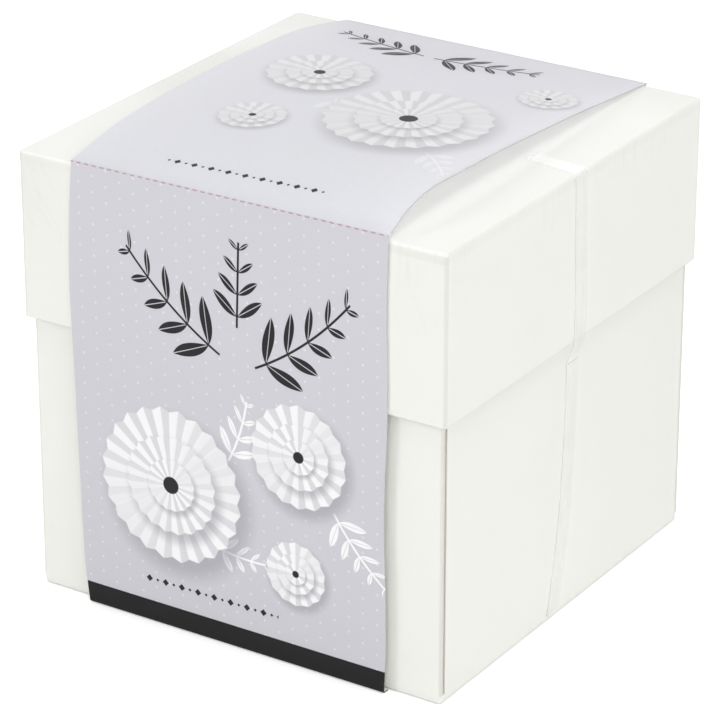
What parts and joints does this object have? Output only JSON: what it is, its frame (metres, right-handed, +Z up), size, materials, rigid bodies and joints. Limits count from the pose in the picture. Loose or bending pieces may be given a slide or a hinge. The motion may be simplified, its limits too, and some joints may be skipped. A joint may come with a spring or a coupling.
{
  "type": "explosion box",
  "caption": "Cubic white card box with a telescoping lift-off lid, fold-down nested walls with pockets and wings, a small gift box inside and a printed paper sleeve.",
  "frame": {"origin": "centre of the underside of the base floor, on the ground", "axes": "+Z up, -Y to the sleeve's printed front, +X to the plain side that carries the film seam"},
  "size_m": [0.1204, 0.1212, 0.1228],
  "materials": {
    "lid_card": "smooth off-white card",
    "base_board": "smooth off-white board",
    "layer_card": "matt cream card",
    "insert_card": "matt white card",
    "gift_card": "smooth white card",
    "printed_paper": "satin printed paper",
    "ribbon": "satin ribbon",
    "clear_film": "clear glossy film"
  },
  "bodies": {
    "base": {"base_floor": "base_board", "middle_floor": "layer_card", "inner_floor": "layer_card", "gift_box": "gift_card"},
    "lid": {"lid": "lid_card", "film_lid": "clear_film"},
    "sleeve": {"sleeve_top": "printed_paper"},
    "sleeve_front": {"sleeve_front": "printed_paper"},
    "sleeve_back": {"sleeve_back": "printed_paper"},
    "gift_lid": {"gift_lid": "gift_card", "ribbon_wrap": "ribbon", "bow_knot": "ribbon", "bow_loop_right": "ribbon", "bow_loop_left": "ribbon", "bow_tail_right": "ribbon", "bow_tail_left": "ribbon"},
    "base_wall_front": {"base_wall_front": "base_board"},
    "middle_wall_front": {"middle_wall_front": "layer_card", "pocket_front": "layer_card"},
    "inner_wall_front": {"inner_wall_front": "layer_card"},
    "pull_card_front": {"pull_card_front": "insert_card"},
    "wing_front_first": {"wing_front_first": "insert_card"},
    "wing_front_second": {"wing_front_second": "insert_card"},
    "base_wall_right": {"base_wall_right": "base_board", "film_wall_right": "clear_film"},
    "middle_wall_right": {"middle_wall_right": "layer_card", "pocket_right": "layer_card"},
    "inner_wall_right": {"inner_wall_right": "layer_card"},
    "pull_card_right": {"pull_card_right": "insert_card"},
    "wing_right_first": {"wing_right_first": "insert_card"},
    "wing_right_second": {"wing_right_second": "insert_card"},
    "base_wall_back": {"base_wall_back": "base_board"},
    "middle_wall_back": {"middle_wall_back": "layer_card", "pocket_back": "layer_card"},
    "inner_wall_back": {"inner_wall_back": "layer_card"},
    "pull_card_back": {"pull_card_back": "insert_card"},
    "wing_back_first": {"wing_back_first": "insert_card"},
    "wing_back_second": {"wing_back_second": "insert_card"},
    "base_wall_left": {"base_wall_left": "base_board", "film_wall_left": "clear_film"},
    "middle_wall_left": {"middle_wall_left": "layer_card", "pocket_left": "layer_card"},
    "inner_wall_left": {"inner_wall_left": "layer_card"},
    "pull_card_left": {"pull_card_left": "insert_card"},
    "wing_left_first": {"wing_left_first": "insert_card"},
    "wing_left_second": {"wing_left_second": "insert_card"}
  },
  "joints": [
    {"name": "lid_lift", "type": "slide", "parent": "base", "child": "lid", "axis": [0, 0, 1], "range_m": [0, 0.3]},
    {"name": "sleeve_slide", "type": "slide", "parent": "lid", "child": "sleeve", "axis": [1, 0, 0], "range_m": [-0.105, 0.105]},
    {"name": "gift_lid_lift", "type": "slide", "parent": "base", "child": "gift_lid", "axis": [0, 0, 1], "range_m": [0, 0.023]},
    {"name": "sleeve_front_fold", "type": "hinge", "parent": "sleeve", "child": "sleeve_front", "pos_m": [0, -0.0606, 0.1164], "axis": [-1, 0, 0], "range_deg": [0, 90]},
    {"name": "sleeve_back_fold", "type": "hinge", "parent": "sleeve", "child": "sleeve_back", "pos_m": [0, 0.0606, 0.1164], "axis": [1, 0, 0], "range_deg": [0, 90]},
    {"name": "base_front_fold", "type": "hinge", "parent": "base", "child": "base_wall_front", "pos_m": [0, -0.05825, 0.0024], "axis": [1, 0, 0], "range_deg": [0, 90]},
    {"name": "middle_front_fold", "type": "hinge", "parent": "base", "child": "middle_wall_front", "pos_m": [0, -0.05675, 0.003], "axis": [1, 0, 0], "range_deg": [0, 90]},
    {"name": "inner_front_fold", "type": "hinge", "parent": "base", "child": "inner_wall_front", "pos_m": [0, -0.05435, 0.0036], "axis": [1, 0, 0], "range_deg": [0, 90]},
    {"name": "pull_card_front_slide", "type": "slide", "parent": "middle_wall_front", "child": "pull_card_front", "axis": [0, 0, 1], "range_m": [0, 0.06]},
    {"name": "wing_front_first_fold", "type": "hinge", "parent": "inner_wall_front", "child": "wing_front_first", "pos_m": [-0.05255, -0.05345, 0.0566], "axis": [0, 0, 1], "range_deg": [0, 180]},
    {"name": "wing_front_second_fold", "type": "hinge", "parent": "inner_wall_front", "child": "wing_front_second", "pos_m": [0.05255, -0.05345, 0.0566], "axis": [0, 0, -1], "range_deg": [0, 180]},
    {"name": "base_right_fold", "type": "hinge", "parent": "base", "child": "base_wall_right", "pos_m": [0.05825, 0, 0.0024], "axis": [0, 1, 0], "range_deg": [0, 90]},
    {"name": "middle_right_fold", "type": "hinge", "parent": "base", "child": "middle_wall_right", "pos_m": [0.05675, 0, 0.003], "axis": [0, 1, 0], "range_deg": [0, 90]},
    {"name": "inner_right_fold", "type": "hinge", "parent": "base", "child": "inner_wall_right", "pos_m": [0.05435, 0, 0.0036], "axis": [0, 1, 0], "range_deg": [0, 90]},
    {"name": "pull_card_right_slide", "type": "slide", "parent": "middle_wall_right", "child": "pull_card_right", "axis": [0, 0, 1], "range_m": [0, 0.06]},
    {"name": "wing_right_first_fold", "type": "hinge", "parent": "inner_wall_right", "child": "wing_right_first", "pos_m": [0.05345, -0.05255, 0.0566], "axis": [0, 0, 1], "range_deg": [0, 180]},
    {"name": "wing_right_second_fold", "type": "hinge", "parent": "inner_wall_right", "child": "wing_right_second", "pos_m": [0.05345, 0.05255, 0.0566], "axis": [0, 0, -1], "range_deg": [0, 180]},
    {"name": "base_back_fold", "type": "hinge", "parent": "base", "child": "base_wall_back", "pos_m": [0, 0.05825, 0.0024], "axis": [-1, 0, 0], "range_deg": [0, 90]},
    {"name": "middle_back_fold", "type": "hinge", "parent": "base", "child": "middle_wall_back", "pos_m": [0, 0.05675, 0.003], "axis": [-1, 0, 0], "range_deg": [0, 90]},
    {"name": "inner_back_fold", "type": "hinge", "parent": "base", "child": "inner_wall_back", "pos_m": [0, 0.05435, 0.0036], "axis": [-1, 0, 0], "range_deg": [0, 90]},
    {"name": "pull_card_back_slide", "type": "slide", "parent": "middle_wall_back", "child": "pull_card_back", "axis": [0, 0, 1], "range_m": [0, 0.06]},
    {"name": "wing_back_first_fold", "type": "hinge", "parent": "inner_wall_back", "child": "wing_back_first", "pos_m": [0.05255, 0.05345, 0.0566], "axis": [0, 0, 1], "range_deg": [0, 180]},
    {"name": "wing_back_second_fold", "type": "hinge", "parent": "inner_wall_back", "child": "wing_back_second", "pos_m": [-0.05255, 0.05345, 0.0566], "axis": [0, 0, -1], "range_deg": [0, 180]},
    {"name": "base_left_fold", "type": "hinge", "parent": "base", "child": "base_wall_left", "pos_m": [-0.05825, 0, 0.0024], "axis": [0, -1, 0], "range_deg": [0, 90]},
    {"name": "middle_left_fold", "type": "hinge", "parent": "base", "child": "middle_wall_left", "pos_m": [-0.05675, 0, 0.003], "axis": [0, -1, 0], "range_deg": [0, 90]},
    {"name": "inner_left_fold", "type": "hinge", "parent": "base", "child": "inner_wall_left", "pos_m": [-0.05435, 0, 0.0036], "axis": [0, -1, 0], "range_deg": [0, 90]},
    {"name": "pull_card_left_slide", "type": "slide", "parent": "middle_wall_left", "child": "pull_card_left", "axis": [0, 0, 1], "range_m": [0, 0.06]},
    {"name": "wing_left_first_fold", "type": "hinge", "parent": "inner_wall_left", "child": "wing_left_first", "pos_m": [-0.05345, 0.05255, 0.0566], "axis": [0, 0, 1], "range_deg": [0, 180]},
    {"name": "wing_left_second_fold", "type": "hinge", "parent": "inner_wall_left", "child": "wing_left_second", "pos_m": [-0.05345, -0.05255, 0.0566], "axis": [0, 0, -1], "range_deg": [0, 180]}
  ],
  "couplings": [
    {"joint": "sleeve_front_fold", "follows": "lid_lift", "rad_per_m": 0.45},
    {"joint": "sleeve_back_fold", "follows": "lid_lift", "rad_per_m": 0.45},
    {"joint": "base_front_fold", "follows": "lid_lift", "rad_per_m": 0.18},
    {"joint": "middle_front_fold", "follows": "lid_lift", "rad_per_m": 0.18},
    {"joint": "inner_front_fold", "follows": "lid_lift", "rad_per_m": 0.18},
    {"joint": "pull_card_front_slide", "follows": "lid_lift", "ratio": 0.2},
    {"joint": "wing_front_first_fold", "follows": "lid_lift", "rad_per_m": 1.15},
    {"joint": "wing_front_second_fold", "follows": "lid_lift", "rad_per_m": 1.15},
    {"joint": "base_right_fold", "follows": "lid_lift", "rad_per_m": 0.18},
    {"joint": "middle_right_fold", "follows": "lid_lift", "rad_per_m": 0.18},
    {"joint": "inner_right_fold", "follows": "lid_lift", "rad_per_m": 0.18},
    {"joint": "pull_card_right_slide", "follows": "lid_lift", "ratio": 0.2},
    {"joint": "wing_right_first_fold", "follows": "lid_lift", "rad_per_m": 1.15},
    {"joint": "wing_right_second_fold", "follows": "lid_lift", "rad_per_m": 1.15},
    {"joint": "base_back_fold", "follows": "lid_lift", "rad_per_m": 0.18},
    {"joint": "middle_back_fold", "follows": "lid_lift", "rad_per_m": 0.18},
    {"joint": "inner_back_fold", "follows": "lid_lift", "rad_per_m": 0.18},
    {"joint": "pull_card_back_slide", "follows": "lid_lift", "ratio": 0.2},
    {"joint": "wing_back_first_fold", "follows": "lid_lift", "rad_per_m": 1.15},
    {"joint": "wing_back_second_fold", "follows": "lid_lift", "rad_per_m": 1.15},
    {"joint": "base_left_fold", "follows": "lid_lift", "rad_per_m": 0.18},
    {"joint": "middle_left_fold", "follows": "lid_lift", "rad_per_m": 0.18},
    {"joint": "inner_left_fold", "follows": "lid_lift", "rad_per_m": 0.18},
    {"joint": "pull_card_left_slide", "follows": "lid_lift", "ratio": 0.2},
    {"joint": "wing_left_first_fold", "follows": "lid_lift", "rad_per_m": 1.15},
    {"joint": "wing_left_second_fold", "follows": "lid_lift", "rad_per_m": 1.15}
  ]
}
